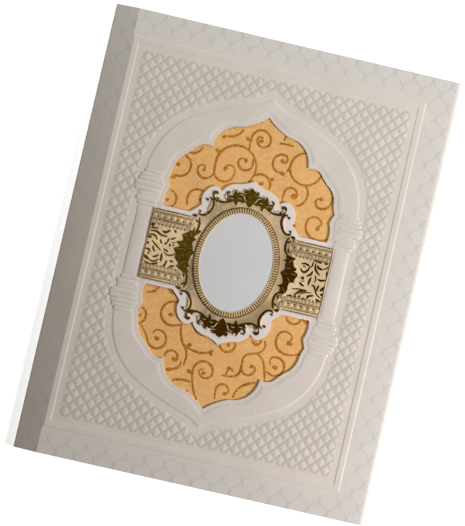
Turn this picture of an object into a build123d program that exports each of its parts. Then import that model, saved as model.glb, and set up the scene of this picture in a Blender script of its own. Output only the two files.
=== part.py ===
from build123d import *
import math
import os

os.makedirs("parts", exist_ok=True)

# Wedding invitation card, lying closed on its back panel, in millimetres.
# X runs across the card from the fold on the left, Y towards its top edge, Z up.
# The origin is under the middle of the card's box, at the table.

# The folded cover
card_width = 181.0
card_height = 230.0
sheet = 0.45
fold_radius = 1.0
hinge_strip = 12.0
crease_radius = 1.2
front_height = 4.2
back_overhang = 1.5

# The inner leaves, one closed stack
leaves_thickness = 1.4
leaves_inset = 3.0
leaves_from_fold = 14.0
rest_gap = 0.03

# The sheet that is glued behind the windows
lining_thickness = 0.3
lining_overlap = 6.0

# The moulded frame and the field inside it
margin = 13.5
free_margin = 14.5
band_width = 3.9
band_rise = 0.45
band_slope = 0.3
field_gap = 2.6
diamond_width = 5.9
diamond_height = 6.4
diamond_valley = 0.15
diamond_foot = 0.02
diamond_rise = 0.5

# The arch plate round the windows, and the lower rim along them
plate_rise = 0.45
plate_slope = 0.2
plate_half_width = 55.3
plate_spring = 37.0
plate_apex = 86.0
plate_to_field = 3.2
rim_width = 3.0
press_wall = 0.6

# The two scalloped windows
window_apex = 75.5
window_half_width = 43.3
window_foot = 20.0
foot_inset = 1.0
foot_inner = 28.6
crest_top = 42.4

# Columns and their capitals
column_inner = 47.2
column_outer = 55.0
column_half_height = 17.2
column_rise = 0.75
capital_inner = 46.4
capital_slope = 0.3
# Each moulding: its lower and upper edge, how far out it reaches and how high it stands
capital_mouldings = (
    (17.6, 19.6, 55.8, 0.60),
    (20.2, 24.6, 57.4, 0.75),
    (25.4, 31.8, 59.3, 0.95),
    (32.6, 36.6, 57.4, 0.70),
)

# The medallion and the band that carry it across the windows
strap_half_width = 46.6
strap_half_height = 18.0
strap_rise = 0.25
strip_height = 7.6
strip_rise = 0.45
medallion_edge = 1.8
medallion_rise = 0.5
collar_outer_x = 21.2
collar_outer_y = 27.8
collar_width = 2.3
collar_rise = 0.75
ridge_pitch = 3.0
ridge_rise = 0.25
oval_rise = 0.2

# How deep a raised form is set into the sheet that it grows from
bite = 0.1

# Worked out from the sizes above
frame_width = card_width - back_overhang - hinge_strip - free_margin
frame_height = card_height - 2 * margin
fold_x = -card_width / 2
crease_x = fold_x + hinge_strip
front_edge = card_width / 2 - back_overhang
axis_x = crease_x + frame_width / 2
field_half_width = frame_width / 2 - band_width - field_gap
field_half_height = frame_height / 2 - band_width - field_gap
leaves_left = fold_x + leaves_from_fold
leaves_right = front_edge - leaves_inset
leaves_top = sheet + leaves_thickness

# The front panel runs from the crease down to the leaves, where its free edge lies on them
panel_drop = front_height - sheet - leaves_top - rest_gap
panel_tilt = math.degrees(math.atan2(panel_drop, leaves_right - crease_x))
panel_slope = math.tan(math.radians(panel_tilt))
axis_height = front_height - (axis_x - crease_x) * panel_slope
on_panel = Location((axis_x, 0, axis_height), (0, panel_tilt, 0))


def mirrored_face(half):
    """A flat face from the edges of its right half, which start and end on the Y axis."""
    right = Curve() + half
    return make_face(right + mirror(right, about=Plane.YZ))


def raised(face, rise, low=-bite):
    """A flat-topped form that stands on the sheet, from below its surface to the rise."""
    return extrude(Pos(0, 0, low) * face, amount=rise - low, dir=(0, 0, 1))


def sloped_top(solid, slope):
    """The same form with its upper edges sloped off, as pressed card has them."""
    return chamfer(solid.faces().sort_by(Axis.Z)[-1].edges(), slope)


def window_outer_edges():
    """The scalloped side of a window, from its apex to its foot."""
    side = window_half_width
    top = window_apex
    return [
        ThreePointArc((0, top), (5.4, top - 4.2), (12, top - 7.5)),
        ThreePointArc((12, top - 7.5), (side - 22.7, top - 11.1), (side - 18.7, top - 18.3)),
        Line((side - 18.7, top - 18.3), (side - 18.2, top - 20.7)),
        ThreePointArc((side - 18.2, top - 20.7), (side - 13.7, top - 20.6), (side - 10.1, top - 23.6)),
        Line((side - 10.1, top - 23.6), (side - 7.3, top - 26.6)),
        ThreePointArc((side - 7.3, top - 26.6), (side - 3.3, top - 30.5), (side - 1.6, top - 36)),
        ThreePointArc((side - 1.6, top - 36), (side - 1, top - 38.5), (side, top - 40.9)),
        ThreePointArc((side, top - 40.9), (side - 1.1, top - 43.5), (side - 1.7, top - 45.7)),
        ThreePointArc((side - 1.7, top - 45.7), (side - 0.4, top - 50.9), (side - foot_inset, window_foot)),
    ]


def crest_edges():
    """The medallion's cut edge along a window, from the window's foot to the crest's tip."""
    foot = window_foot
    return [
        ThreePointArc((foot_inner, foot), (foot_inner - 2.4, foot + 2.2), (foot_inner - 5, foot + 5)),
        ThreePointArc((foot_inner - 5, foot + 5), (foot_inner - 5, foot + 11), (19, foot + 15.6)),
        ThreePointArc((19, foot + 15.6), (16.8, foot + 15.2), (15, foot + 13.6)),
        ThreePointArc((15, foot + 13.6), (12.2, crest_top - 5.1), (7.6, crest_top - 3.2)),
        ThreePointArc((7.6, crest_top - 3.2), (3.5, crest_top - 2), (0, crest_top)),
    ]


def upper_window():
    """The upper window, between its scalloped arch and the medallion's crest."""
    foot = Line((window_half_width - foot_inset, window_foot), (foot_inner, window_foot))
    return mirrored_face(window_outer_edges() + [foot] + crest_edges())


def whole_opening():
    """The outline of both windows together, with the medallion's bridge left out."""
    outer = Curve() + window_outer_edges()
    foot = window_half_width - foot_inset
    side = Line((foot, window_foot), (foot, -window_foot))
    right = outer + side + mirror(outer, about=Plane.XZ)
    return make_face(right + mirror(right, about=Plane.YZ))


def medallion_face():
    """The bridge of card that carries the medallion, between the two crests."""
    crest = Curve() + crest_edges()
    side = Line((foot_inner, window_foot), (foot_inner, -window_foot))
    right = crest + side + mirror(crest, about=Plane.XZ)
    return make_face(right + mirror(right, about=Plane.YZ))


def plate_face():
    """The ogee arch above, its straight sides and the same arch below."""
    shoulder = (plate_half_width - 21.3, plate_apex - 15.6)
    haunch = (plate_half_width - 6.7, plate_apex - 28.4)
    arch = Curve() + [
        ThreePointArc((0, plate_apex), (5, plate_apex - 3.6), (12, plate_apex - 6.4)),
        ThreePointArc((12, plate_apex - 6.4), (shoulder[0] - 11, shoulder[1] + 5.2), shoulder),
        ThreePointArc(shoulder, haunch, (plate_half_width, plate_spring)),
    ]
    side = Line((plate_half_width, plate_spring), (plate_half_width, -plate_spring))
    right = arch + side + mirror(arch, about=Plane.XZ)
    return make_face(right + mirror(right, about=Plane.YZ))


def folded_sheet():
    """Back panel, round fold, hinge strip and front panel, bent from one sheet."""
    centre = Vector(fold_x + fold_radius, fold_radius)
    reach = Vector(crease_x, front_height) - centre
    rise = math.atan2(reach.Y, reach.X) - math.asin(fold_radius / reach.length)
    strip_start = centre + Vector(-math.sin(rise), math.cos(rise)) * fold_radius
    back = Line((card_width / 2, 0), (centre.X, 0))
    fold = ThreePointArc((centre.X, 0), (fold_x, fold_radius), strip_start)
    panel_end = (front_edge, front_height - (front_edge - crease_x) * panel_slope)
    front = FilletPolyline(strip_start, (crease_x, front_height), panel_end, radius=crease_radius)
    outside = Wire([*back.edges(), *fold.edges(), *front.edges()])
    section = make_face(outside.offset_2d(sheet, side=Side.RIGHT, closed=True))
    return extrude(Plane.XZ * section, amount=card_height / 2, both=True)


def frame_band():
    """The raised moulding that runs round the front panel, with sloped edges."""
    outer = raised(Rectangle(frame_width, frame_height), band_rise)
    inner = Rectangle(frame_width - 2 * band_width, frame_height - 2 * band_width)
    return sloped_top(outer - extrude(inner, amount=2 * band_rise, both=True), band_slope)


def diamond_cell(across, along):
    """One raised diamond, as a low pyramid whose foot is set a little into the sheet."""
    half_across = (across - diamond_valley) / 2
    half_along = (along - diamond_valley) / 2
    foot = Polyline((-half_across, 0), (0, -half_along), (half_across, 0), (0, half_along), close=True)
    return loft([Pos(0, 0, -diamond_foot) * make_face(foot), Vertex(0, 0, diamond_rise)])


def inner_half(step, last):
    """Which half of a diamond stays inside the frame: -1 or 1 at its last row, 0 for both."""
    return (step < -last + 1) - (step > last - 1)


def diamond_field():
    """The lattice of diamonds between the frame and the arch, halved along the frame."""
    columns = round(2 * field_half_width / diamond_width)
    rows = round(2 * field_half_height / diamond_height)
    across = 2 * field_half_width / columns
    along = 2 * field_half_height / rows
    cell = diamond_cell(across, along)
    block = Box(across, along, 4 * diamond_rise)
    halves = {}
    for side_x in (-1, 0, 1):
        for side_y in (-1, 0, 1):
            halves[side_x, side_y] = cell & Pos(side_x * across / 2, side_y * along / 2) * block
    halves[0, 0] = cell
    ground = offset(plate_face(), plate_to_field).face()
    cells = []
    for step_x in range(-columns, columns + 1):
        for step_y in range(-rows, rows + 1):
            if (step_x + step_y) % 2:
                continue
            x = step_x * across / 2
            y = step_y * along / 2
            tips = [(x - across / 2, y), (x + across / 2, y), (x, y - along / 2), (x, y + along / 2)]
            if any(ground.is_inside(Vector(*tip)) for tip in tips):
                continue
            piece = halves[inner_half(step_x, columns), inner_half(step_y, rows)]
            cells.append(Pos(x, y) * piece)
    return cells


def arch_plate():
    """The plain raised plate round the windows, with a lower rim along their edges."""
    face = plate_face()
    top = offset(face, -plate_slope).face()
    slope = loft([Pos(0, 0, plate_rise - plate_slope) * face, Pos(0, 0, plate_rise) * top])
    plate = raised(face, plate_rise - plate_slope) + slope
    low_ground = [offset(whole_opening(), rim_width), Rectangle(2 * column_inner, 2 * window_foot)]
    return plate - [extrude(face, amount=2 * plate_rise, both=True) for face in low_ground]


def pressed_hollows():
    """The hollows that pressing leaves under the frame band and the arch plate."""
    depth = min(band_rise, plate_rise)
    low = -sheet - bite
    outer = Rectangle(frame_width - 2 * press_wall, frame_height - 2 * press_wall)
    inner_width = frame_width - 2 * band_width + 2 * press_wall
    inner = Rectangle(inner_width, frame_height - 2 * band_width + 2 * press_wall)
    plate = offset(plate_face(), -press_wall) - offset(whole_opening(), rim_width + press_wall)
    strap = Rectangle(2 * (column_outer + press_wall), 2 * capital_mouldings[-1][1])
    return [raised(outer - inner, depth - sheet, low), raised(plate - strap, depth - sheet, low)]


def columns():
    """The two rounded columns beside the medallion."""
    half = (column_outer - column_inner) / 2
    bow = ThreePointArc((-half, 0), (0, column_rise), (half, 0))
    profile = make_face(bow + Polyline((half, 0), (half, -bite), (-half, -bite), (-half, 0)))
    column = extrude(Plane.XZ * profile, amount=column_half_height, both=True)
    middle = (column_inner + column_outer) / 2
    return [Pos(side * middle, 0) * column for side in (-1, 1)]


def capitals():
    """Four capitals, each a stack of rounded mouldings that reach outwards."""
    mouldings = []
    for low, high, reach, rise in capital_mouldings:
        block = raised(Rectangle(reach - capital_inner, high - low), rise)
        block = sloped_top(block, capital_slope)
        for side_x in (-1, 1):
            for side_y in (-1, 1):
                middle = Pos(side_x * (capital_inner + reach) / 2, side_y * (low + high) / 2)
                mouldings.append(middle * block)
    return mouldings


def strap():
    """The band across the windows with its two raised border strips."""
    band = raised(Rectangle(2 * strap_half_width, 2 * strap_half_height), strap_rise)
    strip = raised(Rectangle(2 * strap_half_width, strip_height), strip_rise)
    middle = strap_half_height - strip_height / 2
    return band + [Pos(0, side * middle) * strip for side in (-1, 1)]


def medallion():
    """The shaped shield, the collar with its ridges, and the bare oval inside it."""
    shield = raised(offset(medallion_face(), -medallion_edge), medallion_rise)
    outer = Ellipse(collar_outer_x, collar_outer_y)
    inner = Ellipse(collar_outer_x - collar_width, collar_outer_y - collar_width)
    collar = raised(outer - inner, collar_rise)
    well = Pos(0, 0, oval_rise) * extrude(inner, amount=collar_rise)
    return shield + collar - well


def collar_ridges():
    """Ridges across the collar, a pitch apart along the middle of its oval."""
    middle_x = collar_outer_x - collar_width / 2
    middle_y = collar_outer_y - collar_width / 2
    oval = Ellipse(middle_x, middle_y).wire()
    count = round(oval.length / ridge_pitch)
    half_wide = 0.3 * oval.length / count
    profile = make_face(Polyline((-half_wide, 0), (half_wide, 0), (0, ridge_rise + bite), close=True))
    ridge = extrude(Plane.XZ * profile, amount=collar_width / 2 - 0.15, both=True)
    ridges = []
    for index in range(count):
        place = oval.position_at(index / count)
        along = oval.tangent_at(index / count)
        turn = math.degrees(math.atan2(along.Y, along.X))
        ridges.append(Pos(place.X, place.Y, collar_rise - bite) * Rot(0, 0, turn) * ridge)
    return ridges


def cover():
    """The folded and pressed sheet, with its two windows cut through the front panel."""
    depth = 4 * sheet
    window = extrude(upper_window(), amount=depth, both=True)
    cuts = [window, mirror(window, about=Plane.XZ), *pressed_hollows()]
    forms = [frame_band(), *diamond_field(), arch_plate(), *columns(), *capitals()]
    forms += [strap(), medallion(), *collar_ridges()]
    solid = folded_sheet().fuse(*[on_panel * form for form in forms])
    return solid.cut(*[on_panel * cut for cut in cuts])


def window_lining():
    """The sheet glued behind the front panel, larger all round than the windows."""
    width = 2 * (window_half_width + lining_overlap)
    height = 2 * (window_apex + lining_overlap)
    return on_panel * Pos(0, 0, -sheet - lining_thickness / 2) * Box(width, height, lining_thickness)


def inner_leaves():
    """The leaves with the invitation, a closed stack on the back panel."""
    width = leaves_right - leaves_left
    height = card_height - 2 * leaves_inset
    middle = (leaves_left + leaves_right) / 2
    return Pos(middle, 0, sheet + leaves_thickness / 2) * Box(width, height, leaves_thickness)


nodes = {
    "cover": cover(),
    "window_lining": window_lining(),
    "inner_leaves": inner_leaves(),
}
for name, shape in nodes.items():
    export_step(shape, f"parts/{name}.step")
    print(name, len(shape.solids()), round(shape.volume, 1), shape.is_valid)
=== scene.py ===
import math

import bmesh
import bpy
import numpy as np
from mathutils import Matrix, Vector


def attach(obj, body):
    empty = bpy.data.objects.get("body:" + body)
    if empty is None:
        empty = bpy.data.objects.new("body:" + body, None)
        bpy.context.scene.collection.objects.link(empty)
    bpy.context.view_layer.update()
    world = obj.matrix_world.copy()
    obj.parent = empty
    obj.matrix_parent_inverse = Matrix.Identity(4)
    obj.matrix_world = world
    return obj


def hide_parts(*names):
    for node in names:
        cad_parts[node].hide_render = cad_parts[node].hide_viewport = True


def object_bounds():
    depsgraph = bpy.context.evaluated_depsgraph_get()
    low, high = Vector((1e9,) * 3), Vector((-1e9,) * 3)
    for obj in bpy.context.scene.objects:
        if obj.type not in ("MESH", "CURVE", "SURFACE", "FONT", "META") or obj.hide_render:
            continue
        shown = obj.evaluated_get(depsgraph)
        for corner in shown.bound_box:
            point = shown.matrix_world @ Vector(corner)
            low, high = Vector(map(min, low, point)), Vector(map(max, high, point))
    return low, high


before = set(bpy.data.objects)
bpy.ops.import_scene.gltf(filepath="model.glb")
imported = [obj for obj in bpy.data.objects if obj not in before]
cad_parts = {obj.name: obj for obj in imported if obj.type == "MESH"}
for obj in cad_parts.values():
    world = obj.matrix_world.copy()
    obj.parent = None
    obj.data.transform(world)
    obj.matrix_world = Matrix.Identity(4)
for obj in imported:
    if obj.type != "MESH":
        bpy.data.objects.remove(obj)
cad_low, cad_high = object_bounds()

# Wedding invitation card. Lengths are millimetres on the card, turned into metres at the end.
MM = 0.001
sharp_angle = 40
# The small step between surfaces that would otherwise lie in one plane
hair = 0.02

# The folded cover
card_width = (cad_high.x - cad_low.x) / MM
card_height = (cad_high.y - cad_low.y) / MM
sheet = 0.45
fold_radius = 1.0
hinge_strip = 12.0
front_height = 4.2
back_overhang = 1.5

# The leaves inside and the sheet behind the windows
leaf_count = 3
leaf_gap = 0.07
leaves_thickness = 1.4
leaves_inset = 3.0
leaves_from_fold = 14.0
leaf_step = 0.25
rest_gap = 0.03
lining_thickness = 0.3
lining_overlap = 6.0
lining_sunk = 0.2
liner_reach = 2.0
liner_thickness = 0.06

# The moulded frame and the field of diamonds
margin = 13.5
free_margin = 14.5
band_width = 3.9
band_rise = 0.17
band_hold = 0.15
band_slope = 0.8
field_gap = 2.6
diamond_width = 5.9
diamond_height = 6.4
diamond_rise = 0.205
cell_steps = 6
field_to_arch = 3.2
field_fade = 0.9
field_edge = 1.8
edge_roll = 1.6
edge_drop = 0.22

# The arch plate and its rim
plate_rise = 0.2
plate_least = 0.012
plate_overlap = 1.2
plate_slope = 1.3
plate_hold = 0.12
plate_fade = 3.0
plate_half_width = 55.3
plate_spring = 37.0
plate_apex = 86.0
cut_round = 0.12
# The two steps of the rim along the windows: how far out from their edge, and how high
rim_steps = (
    (3.6, 0.2), (3.4, 0.2), (3.15, 0.16), (3.0, 0.15),
    (2.6, 0.15), (2.45, 0.14), (2.15, 0.02), (2.0, 0.01),
)

# The windows
window_apex = 75.5
window_half_width = 43.3
window_foot = 20.0
foot_inset = 1.0
foot_inner = 28.6
crest_top = 42.4
outline_step = 0.3

# The pale card's colours, the painted shade of its grooves and its printed trellis
pearl_colour = (0.66, 0.60, 0.535)
margin_colour = (0.63, 0.60, 0.555)
# Painted shade: the grooves and the capitals' joints are drawn darker in this colour
groove_shade_colour = (0.42, 0.375, 0.32)
groove_shade_depth = 0.6
print_colour = (0.50, 0.43, 0.37)
print_depth = 0.45
trellis_start = 94.5

# Columns and capitals
column_inner = 47.2
column_outer = 54.9
column_half_height = 18.3
column_rise = 0.3
capital_inner = 45.9
capital_lean = 0.2
capital_power = 3.4
capital_round = 0.22
joint_width = 0.4
# Each moulding: its lower and upper edge, how far out it reaches and how high it stands
capital_mouldings = (
    (17.9, 20.0, 55.6, 0.34),
    (20.0, 23.2, 56.9, 0.42),
    (23.2, 25.0, 56.4, 0.34),
    (25.0, 30.6, 59.2, 0.38),
    (25.2, 27.8, 58.8, 0.48),
    (27.8, 30.4, 59.2, 0.48),
    (30.6, 32.6, 57.9, 0.42),
    (32.6, 34.6, 57.0, 0.40),
    (34.6, 36.8, 55.6, 0.40),
)

# The medallion, its strap and the print on them
strap_half_width = 46.6
strap_half_height = 18.0
strip_start = 26.0
strip_height = 7.6
strip_rise = 0.45
panel_start = 26.5
panel_half_height = 10.6
rosette_start = 28.6
rosette_line = 14.7
rosette_pitch = 3.3
rosette_count = 6
bead_start = 29.0
bead_line = 10.2
bead_pitch = 1.9
bead_count = 9
print_foot = -0.1
ground_rise = 0.3
mass_rise = 0.55
stroke_spread = 1.3
panel_spread = 1.5
collar_outer = (21.2, 27.8)
collar_width = 2.3
collar_rise = 0.75
collar_foot = 0.1
ridge_pitch = 1.25
ridge_rise = 0.25
ridge_width = 0.52 * ridge_pitch
lip_width = 0.45
hem_width = 0.7
oval_height = 0.56

# The swirls on the lining
swirl_width = 1.0
swirl_rise = 0.1
end_width = 2.2

# Camera, floor and room
camera_place = (-18.4, -33.9, 803.2)
camera_angles = (2.098, -1.556, 12.906)
sensor_width = 24
image_height = 526
focal_pixels = 1585
floor_glow = 0.62
room_colour = (1.0, 0.74, 0.49, 1)
room_strength = 0.107

# Worked out from the sizes above
frame_half = ((card_width - back_overhang - hinge_strip - free_margin) / 2, card_height / 2 - margin)
field_half = (frame_half[0] - band_width - field_gap, frame_half[1] - band_width - field_gap)
field_cells = (round(2 * field_half[0] / diamond_width), round(2 * field_half[1] / diamond_height))
fold_x = -card_width / 2
crease_x = fold_x + hinge_strip
front_edge = card_width / 2 - back_overhang
axis_x = crease_x + frame_half[0]
leaves_right = front_edge - leaves_inset
leaves_top = sheet + leaves_thickness
panel_tilt = math.atan2(front_height - sheet - leaves_top - rest_gap, leaves_right - crease_x)
axis_height = front_height - frame_half[0] * math.tan(panel_tilt)
lining_top = -sheet - lining_sunk


# Points and curves


def on_panel(across, along, height):
    """Places on the front panel, in metres: turned by its tilt about Y, then moved to its axis."""
    across, along, height = np.broadcast_arrays(across, along, height)
    x = axis_x + across * math.cos(panel_tilt) + height * math.sin(panel_tilt)
    z = axis_height - across * math.sin(panel_tilt) + height * math.cos(panel_tilt)
    return np.stack([x, along, z], axis=-1) * MM


def smooth(value):
    """0 below 0, 1 above 1, and 3t^2 - 2t^3 in between."""
    held = np.clip(value, 0, 1)
    return held * held * (3 - 2 * held)


def arc(start, middle, end, step=outline_step):
    """Even steps along the circle through three points: its centre plus its radius, turned."""
    start, middle, end = np.array([start, middle, end], float)
    a, b = middle - start, end - start
    turn = a[0] * b[1] - a[1] * b[0]
    away = np.array([b[1] * (a @ a) - a[1] * (b @ b), a[0] * (b @ b) - b[0] * (a @ a)])
    centre = start + away / (2 * turn)
    radius = np.linalg.norm(start - centre)
    first = math.atan2(*(start - centre)[::-1])
    last = math.atan2(*(end - centre)[::-1])
    sweep = (last - first) % (2 * math.pi) if turn > 0 else -((first - last) % (2 * math.pi))
    count = max(2, round(abs(sweep) * radius / step))
    angles = first + sweep * np.arange(count) / count
    return centre + radius * np.stack([np.cos(angles), np.sin(angles)], axis=-1)


def line(start, end, step=outline_step):
    """Even steps along a straight run, without its last point."""
    start, end = np.array([start, end], float)
    count = max(1, round(np.linalg.norm(end - start) / step))
    return start + (end - start) * (np.arange(count) / count)[:, None]


def four_quarters(quarter):
    """A closed outline from its upper right quarter, which runs from the Y axis to the right."""
    lower = quarter[::-1] * (1, -1)
    right = np.concatenate([quarter, lower])
    whole = np.concatenate([right, right[::-1] * (-1, 1)])
    apart = np.linalg.norm(whole - np.roll(whole, 1, axis=0), axis=1) > 1e-6
    return whole[apart][::-1]


def arc_chain(start, heading, arcs, step=0.45):
    """A path of arcs, each tangent to the last: the heading grows evenly along each arc, and the
    places are the running sum of short steps along it. Arcs are (radius, turn in degrees)."""
    lengths = np.array([radius * math.radians(abs(turn)) for radius, turn in arcs])
    ends = np.concatenate([[0], np.cumsum(lengths)])
    headings = np.radians(heading + np.concatenate([[0], np.cumsum([turn for _, turn in arcs])]))
    count = max(6, round(ends[-1] / step))
    middles = (np.arange(count) + 0.5) * ends[-1] / count
    course = np.interp(middles, ends, headings)
    steps = np.stack([np.cos(course), np.sin(course)], axis=-1) * ends[-1] / count
    return np.concatenate([[start], start + np.cumsum(steps, axis=0)])


# Outlines of the pressed and cut forms


def window_quarter():
    """The upper right scalloped edge of a window, from its apex to its foot."""
    side, top = window_half_width, window_apex
    return np.concatenate([
        arc((0, top), (5.4, top - 4.2), (12, top - 7.5)),
        arc((12, top - 7.5), (side - 22.7, top - 11.1), (side - 18.7, top - 18.3)),
        line((side - 18.7, top - 18.3), (side - 18.2, top - 20.7)),
        arc((side - 18.2, top - 20.7), (side - 13.7, top - 20.6), (side - 10.1, top - 23.6)),
        line((side - 10.1, top - 23.6), (side - 7.3, top - 26.6)),
        arc((side - 7.3, top - 26.6), (side - 3.3, top - 30.5), (side - 1.6, top - 36)),
        arc((side - 1.6, top - 36), (side - 1, top - 38.5), (side, top - 40.9)),
        arc((side, top - 40.9), (side - 1.1, top - 43.5), (side - 1.7, top - 45.7)),
        arc((side - 1.7, top - 45.7), (side - 0.4, top - 50.9), (side - foot_inset, window_foot)),
    ])


def crest_quarter():
    """The medallion's cut edge, from the crest's tip to the window's foot."""
    foot, inner = window_foot, foot_inner
    return np.concatenate([
        arc((0, crest_top), (3.5, crest_top - 2), (7.6, crest_top - 3.2)),
        arc((7.6, crest_top - 3.2), (12.2, crest_top - 5.1), (15, foot + 13.6)),
        arc((15, foot + 13.6), (16.8, foot + 15.2), (19, foot + 15.6)),
        arc((19, foot + 15.6), (inner - 5, foot + 11), (inner - 5, foot + 5)),
        arc((inner - 5, foot + 5), (inner - 2.4, foot + 2.2), (inner, foot)),
    ])


def plate_quarter():
    """The upper right of the ogee plate, from its apex down its side to the middle."""
    half, apex = plate_half_width, plate_apex
    shoulder = (half - 21.3, apex - 15.6)
    return np.concatenate([
        arc((0, apex), (5, apex - 3.6), (12, apex - 6.4)),
        arc((12, apex - 6.4), (shoulder[0] - 11, shoulder[1] + 5.2), shoulder),
        arc(shoulder, (half - 6.7, apex - 28.4), (half, plate_spring)),
        line((half, plate_spring), (half, 0)),
    ])


window_side = line((window_half_width - foot_inset, window_foot), (window_half_width - foot_inset, 0))
opening_outline = four_quarters(np.concatenate([window_quarter(), window_side]))
plate_outline = four_quarters(plate_quarter())


def polar(outline):
    """The angle and the radius of each point of an outline, in order of angle from -pi to pi."""
    angles = np.arctan2(outline[:, 1], outline[:, 0])
    order = np.argsort(angles)
    return angles[order], np.hypot(outline[:, 0], outline[:, 1])[order]


def radius_of(outline, angles):
    """How far the outline lies from the middle in each direction."""
    known, radii = polar(outline)
    return np.interp(angles, known, radii, period=2 * math.pi)


def gap_to(points, outline, block=4000):
    """Distance from each point to the nearest point of a closely stepped outline."""
    gaps = np.empty(len(points))
    for first in range(0, len(points), block):
        part = points[first:first + block, None, :] - outline
        gaps[first:first + block] = np.sqrt((part ** 2).sum(-1).min(-1))
    return gaps


# Meshes


def placed(name, data):
    """A new object in the scene."""
    made = bpy.data.objects.new(name, data)
    bpy.context.scene.collection.objects.link(made)
    return made


def grid_faces(rows, columns, around_rows=False, around_columns=False):
    """Four-sided faces between neighbouring points of a grid, wrapped where it closes."""
    row = np.arange(rows if around_rows else rows - 1)[:, None]
    column = np.arange(columns if around_columns else columns - 1)
    next_row, next_column = (row + 1) % rows, (column + 1) % columns
    corners = [row * columns + column, row * columns + next_column,
               next_row * columns + next_column, next_row * columns + column]
    return np.stack(np.broadcast_arrays(*corners), axis=-1).reshape(-1, 4)


def joined(shapes):
    """One point array and one list of faces from several."""
    points, faces, first = [], [], 0
    for shape_points, shape_faces in shapes:
        points.append(shape_points.reshape(-1, 3))
        faces += [[first + corner for corner in face] for face in shape_faces]
        first += len(points[-1])
    return np.concatenate(points), faces


def ribbon(path, widths, rise, base=0.0, section=7, foot=None):
    """A closed band that lies on the panel along a path. Across it the height is half an ellipse,
    as wide as the width there; its flat side is down, at the foot if one is given, and both ends
    are capped."""
    tangent = np.gradient(path, axis=0)
    tangent /= np.linalg.norm(tangent, axis=1, keepdims=True)
    side = np.stack([-tangent[:, 1], tangent[:, 0]], axis=-1)
    turn = np.linspace(0, math.pi, section)
    half = np.asarray(widths)[:, None] / 2
    high = rise * np.sqrt(np.clip(half / half.max(), 0.05, 1))
    across = path[:, None, 0] + side[:, None, 0] * half * np.cos(turn)
    along = path[:, None, 1] + side[:, None, 1] * half * np.cos(turn)
    height = base + high * np.sin(turn)
    if foot is not None:
        height[:, [0, -1]] = foot
    points = on_panel(across, along, height)
    faces = grid_faces(len(path), section, around_columns=True).tolist()
    last = (len(path) - 1) * section
    faces.append(list(range(section)))
    faces.append(list(range(last, last + section)))
    return points, faces


def slab(outline, low, high, edge=cut_round):
    """A flat-topped form: walls up from the outline, an edge sloped in by its own width, flat caps."""
    tangent = np.roll(outline, -1, axis=0) - np.roll(outline, 1, axis=0)
    tangent /= np.linalg.norm(tangent, axis=1, keepdims=True)
    inward = np.stack([-tangent[:, 1], tangent[:, 0]], axis=-1)
    rows = [(0, low), (0, high - edge), (0.3 * edge, high - 0.3 * edge), (edge, high), (1.7 * edge, high)]
    points = np.stack([on_panel(*(outline + inward * inset).T, height) for inset, height in rows])
    count = len(outline)
    faces = grid_faces(len(rows), count, around_columns=True).tolist()
    faces.append(list(range(count))[::-1])
    faces.append(list(range((len(rows) - 1) * count, len(rows) * count)))
    return points, faces


def cushion(low, high, rise, counts=(21, 13), end_power=2.1, cross_power=2.0, lean=0.0, taper=0.0):
    """A rounded moulding on the panel: height is the rise times (1-|u|^a)^(1/a) (1-|v|^b)^(1/b), lower
    towards one end where it leans to the other. Its ends are rounded in plan by the taper."""
    u = -np.cos(np.linspace(0, math.pi, counts[0]))[:, None]
    v = -np.cos(np.linspace(0, math.pi, counts[1]))
    middle, half = (np.add(low, high) / 2), (np.subtract(high, low) / 2)
    bulge = (1 - np.abs(u) ** end_power) ** (1 / end_power)
    bulge = bulge * (1 - np.abs(v) ** cross_power) ** (1 / cross_power)
    bulge = bulge * (1 - abs(lean) * (1 - np.sign(lean) * u) / 2)
    reach = half[0] * (1 - taper * (1 - np.sqrt(1 - v ** 2)))
    points = on_panel(middle[0] + reach * u, middle[1] + half[1] * v, rise * bulge)
    faces = grid_faces(*counts).tolist()
    index = np.arange(counts[0] * counts[1]).reshape(counts)
    border = np.concatenate([index[:-1, 0], index[-1, :-1], index[:0:-1, -1], index[0, :0:-1]])
    faces.append(border.tolist())
    return points, faces


def box(low, high):
    """A plain box between two corners."""
    sides = [(low[0], low[1]), (high[0], low[1]), (high[0], high[1]), (low[0], high[1])]
    points = np.array([(*side, height) for height in (low[2], high[2]) for side in sides]) * MM
    return points, grid_faces(2, 4, around_columns=True).tolist() + [[3, 2, 1, 0], [4, 5, 6, 7]]


def made_piece(name, shape, material, stands_for, marks=()):
    """The mesh as one object with outward faces, its finish and the node it stands for.
    Marks are values worked out at each point from where it lies on the panel."""
    points, faces = shape
    mesh = bpy.data.meshes.new(name)
    mesh.from_pydata(np.asarray(points).reshape(-1, 3).tolist(), [], faces)
    work = bmesh.new()
    work.from_mesh(mesh)
    bmesh.ops.recalc_face_normals(work, faces=work.faces)
    work.to_mesh(mesh)
    work.free()
    mesh.shade_smooth()
    mesh.set_sharp_from_angle(angle=math.radians(sharp_angle))
    piece = placed(name, mesh)
    mesh.materials.append(material)
    flat = np.asarray(points).reshape(-1, 3) / MM
    for mark, value in marks:
        values = value(flat[:, 0] - axis_x, flat[:, 1])
        mesh.attributes.new(mark, "FLOAT", "POINT").data.foreach_set("value", values.astype(np.float32))
    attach(piece, "root")
    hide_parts(stands_for)


# Materials


def put(tree, kind, inputs=(), **settings):
    """One shader node, its inputs set to constants or joined to other nodes' outputs."""
    made = tree.nodes.new(kind)
    for key, value in settings.items():
        setattr(made, key, value)
    for key, value in dict(inputs).items():
        if isinstance(value, bpy.types.NodeSocket):
            tree.links.new(value, made.inputs[key])
        else:
            made.inputs[key].default_value = value
    return made


def number(tree, operation, *values):
    """One step of arithmetic."""
    return put(tree, "ShaderNodeMath", dict(enumerate(values)), operation=operation).outputs[0]


def marked(tree, name):
    """The value that a piece carries under this name at each point, and 0 where it has none."""
    return put(tree, "ShaderNodeAttribute", attribute_name=name).outputs["Fac"]


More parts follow.
